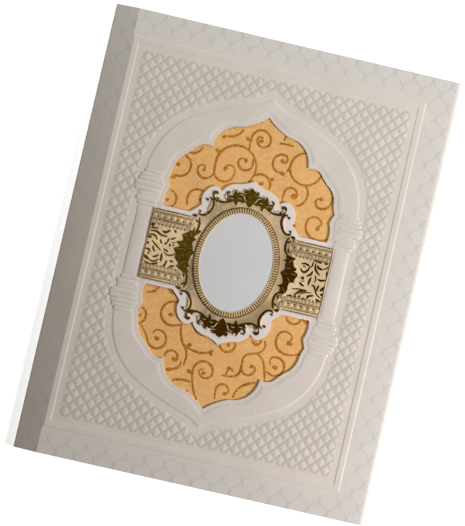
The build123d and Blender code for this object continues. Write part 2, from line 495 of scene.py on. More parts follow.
def blend(tree, share, first, second):
    """The first colour, and by the share the second."""
    return put(tree, "ShaderNodeMix", {0: share, 6: first, 7: second}, data_type="RGBA").outputs[2]


def fade(tree, value, low, high, at_low=0.0, at_high=1.0):
    """A value eased from one level at the low end to another at the high end."""
    ends = {"Value": value, "From Min": low, "From Max": high, "To Min": at_low, "To Max": at_high}
    return put(tree, "ShaderNodeMapRange", ends, interpolation_type="SMOOTHSTEP").outputs[0]


def shared(name, inputs, outputs):
    """An empty node group with named number inputs and number outputs."""
    group = bpy.data.node_groups.new(name, "ShaderNodeTree")
    for label, value in inputs:
        socket = group.interface.new_socket(label, in_out="INPUT", socket_type="NodeSocketFloat")
        socket.default_value = value
    for label in outputs:
        group.interface.new_socket(label, in_out="OUTPUT", socket_type="NodeSocketFloat")
    entry = put(group, "NodeGroupInput").outputs
    leave = put(group, "NodeGroupOutput").inputs
    return group, entry, leave


def paper_grain():
    """Fine fibres for the bump, and slow mottling for the colour."""
    inputs = [("Fibre Scale", 1600.0), ("Mottle Scale", 60.0)]
    group, entry, leave = shared("paper_grain", inputs, ["Height", "Mottle"])
    place = put(group, "ShaderNodeTexCoord").outputs["Object"]
    fibre = put(group, "ShaderNodeTexNoise", {"Vector": place, "Scale": entry[0], "Detail": 3.0})
    mottle = put(group, "ShaderNodeTexNoise", {"Vector": place, "Scale": entry[1], "Detail": 4.0})
    group.links.new(fibre.outputs[0], leave[0])
    group.links.new(mottle.outputs[0], leave[1])
    return group


def trellis_print():
    """A printed trellis of ogee cells: wavy upright lines, each a mirror of its neighbours, at
    x = k P + (-1)^k A c |c|^-0.4, c being cos(2 pi y / H). The mask is 1 on a line and fades off."""
    inputs = [("Line Width", 0.9), ("Cell Width", 5.0), ("Wave", 2.2), ("Cell Height", 12.2)]
    group, entry, leave = shared("trellis_print", inputs, ["Mask"])
    place = put(group, "ShaderNodeTexCoord").outputs["Object"]
    axes = put(group, "ShaderNodeSeparateXYZ", {0: place}).outputs
    x = number(group, "MULTIPLY_ADD", axes[0], 1 / MM, -axis_x)
    y = number(group, "MULTIPLY_ADD", axes[1], 1 / MM, -trellis_start)
    turn = number(group, "DIVIDE", number(group, "MULTIPLY", y, 2 * math.pi), entry[3])
    swing = number(group, "COSINE", turn)
    bulge = number(group, "POWER", number(group, "ABSOLUTE", swing), 0.6)
    wave = number(group, "MULTIPLY", bulge, number(group, "SIGN", swing))
    shift = number(group, "MULTIPLY", wave, entry[2])
    even = number(group, "PINGPONG", number(group, "SUBTRACT", x, shift), entry[1])
    across = number(group, "SUBTRACT", number(group, "ADD", x, shift), entry[1])
    odd = number(group, "PINGPONG", across, entry[1])
    off = number(group, "DIVIDE", number(group, "MINIMUM", even, odd), entry[0])
    group.links.new(fade(group, off, 0.25, 0.75, 1.0, 0.0), leave[0])
    return group


def flecks():
    """Small bright flecks: the share of cells of a given size that catch the light."""
    group, entry, leave = shared("flecks", [("Scale", 2200.0), ("Share", 0.15)], ["Mask", "Value"])
    place = put(group, "ShaderNodeTexCoord").outputs["Object"]
    cells = put(group, "ShaderNodeTexVoronoi", {"Vector": place, "Scale": entry[0]})
    value = put(group, "ShaderNodeSeparateColor", {0: cells.outputs["Color"]}).outputs[0]
    group.links.new(number(group, "LESS_THAN", value, entry[1]), leave[0])
    group.links.new(value, leave[1])
    return group


grain_group, trellis_group, fleck_group = paper_grain(), trellis_print(), flecks()


def grouped(tree, group, inputs=()):
    """The shared group's outputs in this material."""
    return put(tree, "ShaderNodeGroup", inputs, node_tree=group).outputs


def finish(name, colour, roughness, metallic=0.0, bump=0.1, mottle=0.06, gloss=0.3):
    """A mottled, finely grained surface. Returns its material, tree, shader and colour so far."""
    material = bpy.data.materials.new(name)
    material.use_nodes = True
    tree = material.node_tree
    shader = tree.nodes["Principled BSDF"]
    shader.inputs["Roughness"].default_value = roughness
    shader.inputs["Metallic"].default_value = metallic
    shader.inputs["Specular IOR Level"].default_value = gloss
    grain = grouped(tree, grain_group)
    normal = put(tree, "ShaderNodeBump", {"Strength": bump, "Distance": 0.0001, "Height": grain["Height"]})
    tree.links.new(normal.outputs[0], shader.inputs["Normal"])
    share = fade(tree, grain["Mottle"], 0.3, 0.7)
    pale = tuple(min(1, part * (1 + mottle)) for part in colour)
    deep = tuple(part * (1 - mottle) for part in colour)
    base = blend(tree, share, (*deep, 1), (*pale, 1))
    tree.links.new(base, shader.inputs["Base Color"])
    return material, tree, shader, base


def pearl_card():
    """Pale pearly card: painted shade makes the grooves of the pressing a little darker, the trellis printed
    in the margins.
    """
    material, tree, shader, base = finish("pearl_card", pearl_colour, 0.5, bump=0.12, mottle=0.03)
    groove, margin_share = marked(tree, "groove"), marked(tree, "margin")
    base = blend(tree, number(tree, "MULTIPLY", margin_share, 0.9), base, (*margin_colour, 1))
    # Painted shade: the card darkens towards the groove colour where the groove mark lies
    base = blend(tree, number(tree, "MULTIPLY", groove, groove_shade_depth), base, (*groove_shade_colour, 1))
    lines = grouped(tree, trellis_group)["Mask"]
    share = number(tree, "MULTIPLY", number(tree, "MULTIPLY", lines, margin_share), print_depth)
    base = blend(tree, share, base, (*print_colour, 1))
    mica = grouped(tree, fleck_group, {"Scale": 1500.0, "Share": 0.06})
    base = blend(tree, number(tree, "MULTIPLY", mica["Mask"], 0.10), base, (1, 1, 1, 1))
    tree.links.new(base, shader.inputs["Base Color"])
    return material


def gold(name, colour, fleck_colour, share, metallic=0.1, roughness=0.45, scale=1500.0, gloss=0.3,
         mottle=0.18, foil_shade=None, foil_shade_from=0.0):
    """Gold print: mottled, with a share of flecks of a second gold, and painted shade in a third tone where
    marked."""
    material, tree, shader, base = finish(name, colour, roughness, metallic, 0.25, mottle, gloss)
    bits = grouped(tree, fleck_group, {"Scale": scale, "Share": share})
    base = blend(tree, number(tree, "MULTIPLY", bits["Mask"], 0.6), base, (*fleck_colour, 1))
    if foil_shade:
        base = blend(tree, fade(tree, marked(tree, "foil_shade"), foil_shade_from, 1.0), base, (*foil_shade, 1))
    tree.links.new(base, shader.inputs["Base Color"])
    return material


def plain(name, colour, roughness):
    """An even matt finish."""
    return finish(name, colour, roughness, bump=0.02, mottle=0.01, gloss=0.05)[0]


pearl = pearl_card()
# Painted shade: the gold ground and the dark gold turn darker and browner towards the medallion's lower right
gold_ground = gold("gold_ground", (0.62, 0.465, 0.27), (0.68, 0.55, 0.35), 0.2, mottle=0.45,
                   foil_shade=(0.38, 0.26, 0.125), foil_shade_from=0.78)
gold_strip = gold("gold_strip", (0.42, 0.30, 0.165), (0.62, 0.49, 0.30), 0.25)
gold_cream = gold("gold_cream", (0.74, 0.565, 0.335), (0.54, 0.38, 0.19), 0.22, 0.05)
gold_ridge = gold("gold_ridge", (0.64, 0.455, 0.235), (0.78, 0.6, 0.36), 0.2)
gold_brown = gold("gold_brown", (0.16, 0.10, 0.035), (0.34, 0.24, 0.11), 0.3, 0.0, gloss=0.1)
# Painted reflection: the dark gold stands for the gold foil where it reflects dark surroundings
gold_dark_reflection = gold("gold_dark_reflection", (0.08, 0.045, 0.002), (0.17, 0.11, 0.016), 0.25, 0.0, gloss=0.03,
                 foil_shade=(0.045, 0.018, 0.001))
peach = gold("peach_paper", (0.76, 0.42, 0.15), (0.82, 0.51, 0.23), 0.3, 0.0, 0.6, 900.0, 0.1, 0.05)
glitter = gold("glitter", (0.41, 0.15, 0.015), (0.64, 0.30, 0.05), 0.3, 0.0, 0.4, 1300.0)
leaf_white = plain("leaf_paper", (0.78, 0.76, 0.72), 0.7)
pearl_plain = plain("pearl_plain", (0.75, 0.68, 0.62), 0.5)
# Painted highlight: the pale cream stands for the light on the front panel's cut edge
lit_edge_cream = plain("lit_edge_cream", (0.93, 0.90, 0.82), 0.6)
oval_pearl = plain("oval_pearl", (0.635, 0.64, 0.635), 0.9)


# The front panel


def grid_lines(half, field, cells, low, high):
    """Grid lines across the panel: even through the field, close together at the band's slopes."""
    inner = np.linspace(-field, field, 2 * cells * cell_steps + 1)
    foot = half - band_width
    slopes = [np.linspace(foot, foot + band_slope, 4), np.linspace(half - band_slope, half, 4)]
    holds = [foot - band_hold, foot + band_slope + band_hold, half - band_slope - band_hold, half + band_hold]
    outer = np.concatenate([*slopes, holds, [(field + foot) / 2, (foot + half) / 2, (half + high) / 2]])
    lines = np.sort(np.concatenate([-outer, inner, outer, [low, high]]))
    lines = lines[(lines >= low) & (lines <= high)]
    return lines[np.concatenate([[True], np.diff(lines) > 1e-4])]


def depth_in(half, across, along):
    """How far inside a rectangle of these half sizes each place lies, and less than 0 outside it."""
    return np.minimum(half[0] - np.abs(across), half[1] - np.abs(along))


def from_groove(across, along):
    """How far towards a groove of the diamond lattice each place lies, 0 in the middle of a diamond
    and 1 in a groove: 2 max(|a - round a|, |b - round b|), a and b the steps along both diagonals."""
    wide, high = 2 * field_half[0] / field_cells[0], 2 * field_half[1] / field_cells[1]
    a, b = across / wide + along / high, across / wide - along / high
    return 2 * np.maximum(np.abs(a - np.round(a)), np.abs(b - np.round(b)))


def past_plate(across, along):
    """How far each place lies outside the arch plate's outline, and less than 0 inside it."""
    places = np.stack([across.ravel(), along.ravel()], axis=-1)
    reach = np.hypot(*places.T) - radius_of(plate_outline, np.arctan2(places[:, 1], places[:, 0]))
    return (gap_to(places, plate_outline) * np.sign(reach)).reshape(across.shape)


def diamond_relief(across, along):
    """Pillows between the grooves: 1 - off^1.7, let down to nothing at the field's edge."""
    off = from_groove(across, along)
    return diamond_rise * (1 - off ** 1.7) * smooth(depth_in(field_half, across, along) / field_edge)


def band_relief(across, along):
    """The frame's band: its rise, eased off over the slope at its outer and inner edges."""
    outer = depth_in(frame_half, across, along)
    return band_rise * smooth(np.minimum(outer, band_width - outer) / band_slope)


def clear_of_arch(gap):
    """0 beside the arch plate and 1 in the field, by the distance from the plate."""
    return smooth((gap - field_to_arch) / field_fade)


def groove_shade_mark(across, along):
    """Painted shade: 1 in the grooves between the diamonds, 0 elsewhere and off the field."""
    field = smooth(depth_in(field_half, across, along) / 0.5) * clear_of_arch(past_plate(across, along))
    return field * smooth((from_groove(across, along) - 0.55) / 0.45)


def margin_mark(across, along):
    """1 outside the moulded band, where the trellis is printed, and fainter on the hinge strip."""
    outside = -depth_in(frame_half, across, along)
    return smooth(outside / 0.6) * np.where(across < -frame_half[0], 0.3, 1.0)


def joint_shade_mark(across, along):
    """Painted shade: half way to 1 in the joints between the capitals' mouldings, 0 elsewhere."""
    joints = np.array([edge for near, far, _, _ in capital_mouldings for edge in (near, far)])
    off = np.abs(np.abs(along)[:, None] - joints).min(axis=1)
    return 0.5 - 0.5 * smooth(off / joint_width)


def foil_shade_mark(across, along):
    """Painted shade of the gold: from 0 at the upper left of the medallion to 1 at its lower right."""
    return smooth((across - 0.5 * along + 20) / 40)


def front_panel():
    """The pressed panel: one height for each point of a grid, open under the arch plate, rolled down
    a little at its free edge, with its edges carried down by the sheet's thickness and the
    underside filled flat."""
    right, top = front_edge - axis_x, card_height / 2
    xs = grid_lines(frame_half[0], field_half[0], field_cells[0], -frame_half[0], right)
    xs = np.sort(np.concatenate([xs, right - edge_roll * np.linspace(0.2, 1, 5)]))
    ys = grid_lines(frame_half[1], field_half[1], field_cells[1], -top, top)
    across, along = np.meshgrid(xs, ys, indexing="ij")
    gap = past_plate(across, along)
    height = diamond_relief(across, along) * clear_of_arch(gap) + band_relief(across, along)
    height = height - edge_drop * np.clip(1 + (across - right) / edge_roll, 0, 1) ** 2
    points = on_panel(across, along, height).reshape(-1, 3)
    faces = grid_faces(len(xs), len(ys))
    faces = faces[(gap.ravel()[faces] > -plate_overlap).any(axis=1)]
    return thickened(points, faces)


def thickened(points, faces):
    """The sheet below a surface: its borders go down by the sheet's thickness, and the flat
    underside is filled between them."""
    mesh = bpy.data.meshes.new("work")
    mesh.from_pydata(points.tolist(), [], faces.tolist())
    work = bmesh.new()
    work.from_mesh(mesh)
    loose = [vert for vert in work.verts if not vert.link_faces]
    bmesh.ops.delete(work, geom=loose, context="VERTS")
    border = [edge for edge in work.edges if edge.is_boundary]
    grown = bmesh.ops.extrude_edge_only(work, edges=border)["geom"]
    down = np.array([math.sin(panel_tilt), 0, math.cos(panel_tilt)]) * -sheet * MM
    lowered = [item for item in grown if isinstance(item, bmesh.types.BMVert)]
    bmesh.ops.translate(work, verts=lowered, vec=down)
    rim = [item for item in grown if isinstance(item, bmesh.types.BMEdge) and item.is_boundary]
    bmesh.ops.triangle_fill(work, edges=rim, use_beauty=False)
    work.to_mesh(mesh)
    work.free()
    made = np.empty(len(mesh.vertices) * 3, np.float32)
    mesh.vertices.foreach_get("co", made)
    made_faces = [list(face.vertices) for face in mesh.polygons]
    bpy.data.meshes.remove(mesh)
    return made.reshape(-1, 3), made_faces


def fold_and_back():
    """Back panel, round fold and hinge strip: one section carried along Y. The outside runs along
    the back, round the fold and up the strip, and the inside lies the sheet's thickness within."""
    centre = np.array([fold_x + fold_radius, fold_radius])
    reach = np.array([crease_x, front_height]) - centre
    length = np.linalg.norm(reach)
    rise = math.atan2(reach[1], reach[0]) - math.asin(fold_radius / length)
    turn = np.linspace(-math.pi / 2, -1.5 * math.pi + rise, 25)
    around = np.stack([np.cos(turn), np.sin(turn)], axis=-1)
    lift = np.array([-math.sin(rise), math.cos(rise)])
    crease = np.array([(crease_x, front_height)])
    outside = np.concatenate([[(card_width / 2, 0)], centre + around * fold_radius, crease])
    within = centre + around * (fold_radius - sheet)
    inside = np.concatenate([[(card_width / 2, sheet)], within, crease - lift * sheet])
    section = np.concatenate([outside, inside[::-1]])
    ys = np.linspace(-card_height / 2, card_height / 2, 3)
    points = np.empty((len(ys), len(section), 3))
    points[..., 0], points[..., 1], points[..., 2] = section[:, 0], ys[:, None], section[:, 1]
    faces = grid_faces(len(ys), len(section), around_columns=True).tolist()
    count, last = len(section), (len(ys) - 1) * len(section)
    half = len(outside)
    for first in (0, last):
        ends = np.stack([np.arange(half - 1), np.arange(1, half),
                         count - 2 - np.arange(half - 1), count - 1 - np.arange(half - 1)], axis=-1)
        faces += (ends + first).tolist()
    return points * MM, faces


# The arch plate


def rim_radii(angles, start, distances, reach=7.0, step=0.06):
    """Along each ray from the middle, where the opening's edge is first each distance away."""
    radii = start[:, None] + np.arange(0, reach, step)
    places = np.stack([radii * np.cos(angles)[:, None], radii * np.sin(angles)[:, None]], axis=-1)
    gaps = gap_to(places.reshape(-1, 2), opening_outline, 2000).reshape(radii.shape)
    found = []
    for distance in distances:
        past = np.argmax(gaps >= distance, axis=1)[:, None]
        before = np.take_along_axis(gaps, past - 1, 1)
        after = np.take_along_axis(gaps, past, 1)
        share = (distance - before) / (after - before)
        found.append((np.take_along_axis(radii, past - 1, 1) + share * step)[:, 0])
    return found


def arch_plate():
    """A closed ring round both windows. Each ray from the middle gives one section: up the sloped
    outer edge, across the plate, down the rim's two steps, over the cut edge and back below."""
    angles, inner = polar(opening_outline)
    outer = radius_of(plate_outline, angles)
    slant = np.sqrt(1 + (np.gradient(outer, angles) / outer) ** 2)
    distances = [distance for distance, _ in rim_steps]
    rims = rim_radii(angles, inner, distances[::-1])[::-1]
    rows = [(outer, hair - sheet), (outer, 0.0)]
    for part in (0.08, 0.25, 0.5, 0.75, 0.92, 1.0):
        rows.append((outer - np.clip(slant, 1, 2) * plate_slope * part, plate_rise * smooth(part)))
    rows += [(outer - np.clip(slant, 1, 2) * (plate_slope + plate_hold), plate_rise)]
    rows += [(radii, height) for radii, (_, height) in zip(rims, rim_steps)]
    rows += [(inner + cut_round, 0.0), (inner, -cut_round), (inner, hair - sheet)]
    section = []
    for radii, height in rows:
        across, along = radii * np.cos(angles), radii * np.sin(angles)
        raised = smooth((np.abs(along) - window_foot) / plate_fade)
        height = np.where(height > 0, np.maximum(height * raised, plate_least), height)
        section.append(on_panel(across, along, height))
    points = np.stack(section)
    return points, grid_faces(len(rows), len(angles), True, True).tolist()


def columns_and_capitals():
    """Two rounded columns and four capitals, each a stack of rounded mouldings."""
    shapes = []
    for side in (-1, 1):
        low, high = sorted((side * column_inner, side * column_outer))
        shapes.append(cushion((low, -column_half_height), (high, column_half_height), column_rise,
                              counts=(15, 9), cross_power=30))
        for end in (-1, 1):
            for near, far, reach, rise in capital_mouldings:
                low, high = sorted((side * capital_inner, side * reach))
                foot, top = sorted((end * near, end * far))
                shapes.append(cushion((low, foot), (high, top), rise, end_power=capital_power,
                                      lean=capital_lean * side, taper=capital_round))
    return joined(shapes)


# The medallion


def ellipse(half_x, half_y, count=240):
    """Points round an oval, the cosine and sine of even angles times its two half widths."""
    angles = np.arange(count) * 2 * math.pi / count
    return np.stack([half_x * np.cos(angles), half_y * np.sin(angles)], axis=-1)


def rectangle(start, end):
    """A rectangle between two opposite corners, anticlockwise."""
    low, high = np.minimum(start, end), np.maximum(start, end)
    return np.array([low, (high[0], low[1]), high, (low[0], high[1])], float)


def bridge_outline():
    """The medallion's crests above and below, joined by the band across the windows."""
    crest = crest_quarter()
    reach = window_half_width
    return four_quarters(np.concatenate([crest, [(reach, crest[-1][1]), (reach, 0)]]))


def oval_ring(outer, inner, heights):
    """A closed ring between two ovals: its section is a list of shares inwards and heights."""
    points = []
    for share, height in heights:
        half_x, half_y = np.add(outer, np.multiply(np.subtract(inner, outer), share))
        points.append(on_panel(*ellipse(half_x, half_y).T, height))
    points = np.stack(points)
    return points, grid_faces(len(heights), points.shape[1], True, True).tolist()


def collar_ridges():
    """Small ridges across the collar, evenly spaced along the oval through its middle."""
    half = np.array(collar_outer) - collar_width / 2
    fine = ellipse(*half, count=4000)
    travelled = np.cumsum(np.linalg.norm(np.roll(fine, -1, axis=0) - fine, axis=1))
    count = round(travelled[-1] / ridge_pitch)
    chosen = np.searchsorted(travelled, (np.arange(count) + 0.5) * travelled[-1] / count)
    shapes = []
    for place in fine[chosen]:
        outward = place / half ** 2
        outward /= np.linalg.norm(outward)
        reach = np.linspace(-1, 1, 5)[:, None] * outward * (collar_width / 2 - 0.1)
        widths = np.full(5, ridge_width)
        shapes.append(ribbon(place + reach, widths, ridge_rise, collar_rise - 0.05, 5))
    return joined(shapes)


def curve(points, steps=5):
    """A smooth path through points: between two of them, the cubic that leaves each along the line
    between its neighbours."""
    points = np.asarray(points, float)
    ends = np.concatenate([[2 * points[0] - points[1]], points, [2 * points[-1] - points[-2]]])
    before, first, second, after = ends[:-3, None], ends[1:-2, None], ends[2:-1, None], ends[3:, None]
    t = (np.arange(steps) / steps)[:, None]
    path = (2 * first + (second - before) * t + (2 * before - 5 * first + 4 * second - after) * t ** 2
            + (3 * first - before - 3 * second + after) * t ** 3) / 2
    return np.concatenate([path.reshape(-1, 2), points[-1:]])


def rounded(points, rounds=1):
    """A closed outline with its corners cut: each side keeps its middle half."""
    points = np.asarray(points, float)
    for _ in range(rounds):
        after = np.roll(points, -1, axis=0)
        points = np.stack([0.75 * points + 0.25 * after, 0.25 * points + 0.75 * after], axis=1).reshape(-1, 2)
    return points


def strokes(rows, base, rise=0.14, spread=stroke_spread, foot=None):
    """Tapered raised strokes, each a width and the points that it runs through."""
    shapes = []
    for width, *points in rows:
        path = curve(points)
        share = np.linspace(0, 1, len(path))
        widths = spread * width * (0.3 + 0.7 * np.sin(np.pi * share) ** 0.6)
        shapes.append(ribbon(path, widths, rise, base - 0.03, 5, foot))
    return shapes


def four_ways(rows):
    """The same strokes in all four quarters."""
    turned = ()
    for across in (1, -1):
        for along in (1, -1):
            turned += tuple((width, *((across * u, along * v) for u, v in points)) for width, *points in rows)
    return turned


def in_turn(points):
    """An outline, turned to run anticlockwise."""
    points = np.asarray(points, float)
    after = np.roll(points, -1, axis=0)
    area = (points[:, 0] * after[:, 1] - points[:, 1] * after[:, 0]).sum()
    return points if area > 0 else points[::-1]


# Outlines of the solid gold masses, upper right quarter or whole
ground_quarter = (
    (0, 31), (7, 30.4), (9.4, 29.6), (12, 28.3), (16, 28.1), (18, 27.4), (17.8, 25.4),
    (18.5, 22.8), (20, 20.5), (22, 19.5), (24, 19.2), (26.6, 18.0), (28.0, 17.6),
)
leaf_mass = (
    (0, 38.7), (0.9, 37.8), (1.9, 36.9), (2.6, 37), (3.6, 37.5), (4, 36.3), (3.6, 35.5), (5.2, 35.4),
    (6.6, 35), (6.3, 34.4), (7.3, 34.4), (7.8, 35.2), (7.7, 36.1), (8.6, 35.6), (9, 34.3), (9.1, 33),
    (10, 32.3), (10.9, 32.1), (10.5, 31.5), (11.9, 30.7), (11.5, 29.4), (9, 29.9), (7.4, 30.2),
    (7.2, 28.9), (6.6, 28.2), (6.2, 29.3), (5.9, 30.6), (5, 31), (4.3, 30.3), (3.2, 30.3),
    (2.6, 30.9), (1.9, 31.2), (1.3, 30), (0.6, 29.2), (0, 28.7),
)
right_mass = (
    (24.5, 9.8), (25.5, 9.5), (27.5, 9.3), (29.5, 8.7), (28.5, 8.2), (28, 7.5), (28.5, 6), (29, 4.5),
    (30.5, 4.2), (30.5, 2.8), (29, 2.2), (30.8, 2), (31.8, 1), (31.5, 0), (31, -1), (30.3, -2.3),
    (31.2, -3.7), (29.5, -3.2), (28.3, -4.2), (28, -5.5), (28.3, -7), (28, -8.3), (27.5, -9.5),
    (26, -10), (24.5, -10.5), (24.7, -8), (24.8, -6.9), (22.5, -6.5), (24.5, -5.7), (25.5, -4.8),
    (25, -3.2), (24.7, -2), (24, -0.8), (23, 0.2), (23.5, 0.9), (24.5, 1.8), (25, 2.8), (24.7, 4),
    (24.3, 5), (25.2, 6), (22.7, 6.7), (24.7, 7.3), (24.2, 8.5),
)
left_mass = (
    (-26.5, 11.5), (-25, 10.5), (-23, 11.4), (-20.6, 12.2), (-21.4, 10.2), (-22.8, 9.2), (-23.9, 7.8),
    (-21.9, 6.9), (-23.6, 5.9), (-23.8, 4), (-23, 3), (-23, 1.5), (-21.9, 0.5), (-21.8, -0.5), (-22.9, -1),
    (-23.2, -2.5), (-23.6, -5), (-23.4, -6.2), (-21.9, -6.8), (-24, -7.5), (-23.2, -9), (-22.2, -9.7),
    (-23.4, -11), (-25.5, -10.5), (-26.5, -9.8), (-28, -9), (-29.3, -8.3), (-28, -6.9), (-29.5, -5.5),
    (-30.5, -4.5), (-31, -3.5), (-30.5, -2.5), (-31.5, -1), (-32.3, 0), (-31.3, 1), (-29.8, 1.5),
    (-29.5, 2.4), (-31, 2.9), (-31.5, 4), (-30, 4.3), (-28.8, 4.8), (-28.5, 6), (-29.8, 7.9),
    (-28, 8.9), (-27, 9.8),
)

# Strokes of the medallion: a width and the points that each runs through
scroll_strokes = (
    (1.0, (8.6, 30.0), (10.5, 29.2), (12.6, 28.5), (15, 28.3), (17, 28.9), (18.4, 30.1), (18.9, 31.4)),
    (1.2, (16.5, 31.9), (17.3, 32.7), (18.4, 32.4), (19, 31.4)),
    (0.8, (15.4, 29.6), (16.2, 29.9), (16.4, 30.5)),
    (1.1, (20.3, 29.5), (19, 28.9), (18, 27.8), (17.6, 26), (17.9, 24.2), (18.8, 22.2), (20, 20.6),
     (21.6, 19.7), (23.2, 19.9), (23.9, 20.6)),
    (1.2, (20.5, 28.4), (21.1, 28.1), (21.5, 27.6)),
    (1.0, (22.9, 21.6), (23.4, 21.5), (23.8, 21.1)),
    (1.3, (24.3, 19.0), (25.4, 18.8), (26.5, 18.4)),
    (0.8, (25.7, 17.4), (26.1, 17.1), (26.4, 16.7)),
    (0.9, (24.8, 16.5), (23.8, 16.2), (23.1, 15.5)),
    (1.1, (23.2, 18.3), (22.7, 16.8), (22.4, 15), (22.5, 13), (23, 11.4), (23.9, 10.2), (24.8, 9.5)),
    (0.8, (24.3, 13), (24.4, 11.7), (25, 10.8)),
    (0.8, (26.2, 12.1), (26.9, 11.7), (27.6, 11.4)),
    (0.7, (10.6, 34.5), (11.5, 34.2), (12.1, 33.3), (11.7, 32.3), (10.3, 31.8)),
)
# Painted highlights: bright strokes along the scrolls, beside their dark strokes
scroll_highlights = (
    (0.7, (18.9, 28), (18.6, 26), (18.9, 24.2), (19.6, 22.6)),
    (0.9, (9.7, 33.9), (10.3, 33.3), (11, 33.3)),
    (0.7, (12.4, 32.6), (12.3, 31.6), (12.6, 30.6)),
    (0.8, (6.5, 35.9), (7.1, 35.4), (7.4, 34.8)),
    (0.7, (13.2, 29.7), (14.6, 29.5), (15.8, 30.2)),
    (0.8, (17.2, 31.6), (18, 31), (17.8, 30)),
    (1.1, (24.7, 14.6), (25.2, 13.4), (26, 12.6)),
    (1.0, (26.2, 11.1), (27, 10.4), (27.8, 10)),
    (0.9, (23.7, 18), (24.2, 17.8), (24.7, 17.9)),
    (0.8, (26.5, 17.6), (27.2, 17.3), (27.9, 17.4)),
)
# Painted glints: thin bright strokes on the dark leaf mass
leaf_glints = (
    (0.5, (5.9, 34.3), (4.2, 34.1), (3.3, 33.2), (2.9, 32.2), (1.9, 31.4)),
    (0.35, (4.5, 31.9), (5.5, 32.1), (6.5, 31.7)), (0.35, (6.1, 35.2), (4.6, 35.3), (2.4, 35.1)),
    (0.35, (8.4, 31.1), (9.4, 31.3), (10.4, 31.3)),
)
mass_veins = (
    (0.6, (25.4, 2.9), (26.4, 3.4), (27.6, 3.2)), (0.5, (25.9, 5.6), (26.7, 7.2), (28.2, 8.2)),
    (0.5, (26.5, -1.4), (27.9, -2.6), (28.3, -4.2)), (0.5, (25.4, -6.6), (26.3, -8), (27.3, -8.8)),
    (0.6, (28.2, 0.9), (29.7, 0.8), (31, 0.3)), (0.4, (24, 0.6), (25.4, 0.2), (26.6, 0.6)),
    (0.5, (-29.6, 3.4), (-28, 3.2), (-26.4, 4.4)), (0.5, (-28.6, 7.8), (-27.2, 7.2), (-26.4, 5.6)),
    (0.6, (-31, 0.4), (-28.8, 0.6), (-26.6, 1.7)), (0.5, (-30, -3.4), (-28.2, -3), (-26.6, -1.4)),
    (0.5, (-28.4, -7.8), (-27, -6.6), (-26.2, -4.6)), (0.5, (-24.4, 7.4), (-25.4, 8.6), (-26.4, 9.4)),
    (0.4, (-23.8, 0.4), (-24.8, -0.4), (-25.6, -2.2)), (0.4, (-25.4, -8.8), (-25.2, -7.2), (-25.8, -5.6)),
)
right_strokes = (
    (0.8, (32.2, 7.0), (34, 7.4), (35.7, 7.1), (36.9, 6.4)),
    (0.9, (36.9, 6.6), (36.4, 5), (35.4, 3.6), (34.2, 3.1), (33, 3.8), (32.4, 4.9)),
    (0.5, (33.3, 5.7), (34.2, 6.0), (35, 5.6)),
    (0.6, (38.2, 9.6), (38, 7.6), (37.4, 5.9)),
    (0.9, (38.8, 4.6), (38.1, 2.8), (36.2, 1.3)),
    (0.9, (39.5, 9), (39.7, 6.3), (40.9, 4.6), (42.8, 3.2)),
    (1.0, (40.5, 8), (41.3, 6.8), (43.6, 6.2)),
    (0.5, (43.2, 6.6), (45, 7.2), (46, 8.7)),
    (0.9, (42, 1.2), (43.9, 0.8), (46, 1.6)),
    (0.9, (38.7, 1.5), (38.1, -0.8), (38.0, -3.0)),
    (0.55, (40.3, 3), (41.1, 1.2), (41, -0.9)),
    (1.2, (33.6, 0.2), (34.4, 0.1), (35.3, -0.3)),
    (0.4, (33.8, -1.3), (34.8, -1.5), (35.8, -1.1)),
    (0.9, (33.2, -2.3), (34.4, -3.1), (36.1, -4)),
    (0.8, (39.6, -2.2), (41.1, -2.9), (42, -4.8)),
    (0.6, (41.8, -4.5), (43.2, -6.5), (46, -8.3)),
    (0.8, (43.5, -1.6), (42.9, -3.5), (42.5, -5.6)),
    (1.0, (46, -2), (45.3, -3.4), (44.5, -4.6)),
    (1.0, (45, -6), (45.6, -6.1), (46.2, -5.9)),
    (0.5, (30, -6.6), (33, -5.9), (37, -5.6)),
    (1.0, (38, -5.7), (35, -6.6), (32, -9.2)),
    (0.5, (34.2, -8.6), (37, -6.9), (41, -6.2)),
    (0.9, (39, -9.8), (39.3, -8.3), (42, -7.4)),
    (0.9, (43.2, -8.7), (44.2, -9.3), (46, -9.8)),
    (1.1, (29.2, -10), (30.8, -10.3), (31.8, -11.4)),
    (1.1, (32.7, -9.2), (32.8, -10.4), (34, -11.5)),
    (1.1, (34.3, -9.5), (34.8, -9.5), (35.3, -9.7)),
    (1.1, (36.3, -10.3), (35.7, -10.9), (35.6, -11.3)),
    (1.1, (37, -9.5), (37.3, -10.7), (38.5, -11.5)),
    (1.0, (37.8, 10.2), (40, 10.1), (42.2, 9.4)),
    (1.1, (43.4, 10.2), (44.4, 9.9), (45.4, 9.3)),
    (0.7, (45.7, 5.9), (46, 4.8), (45.8, 3.5)),
)
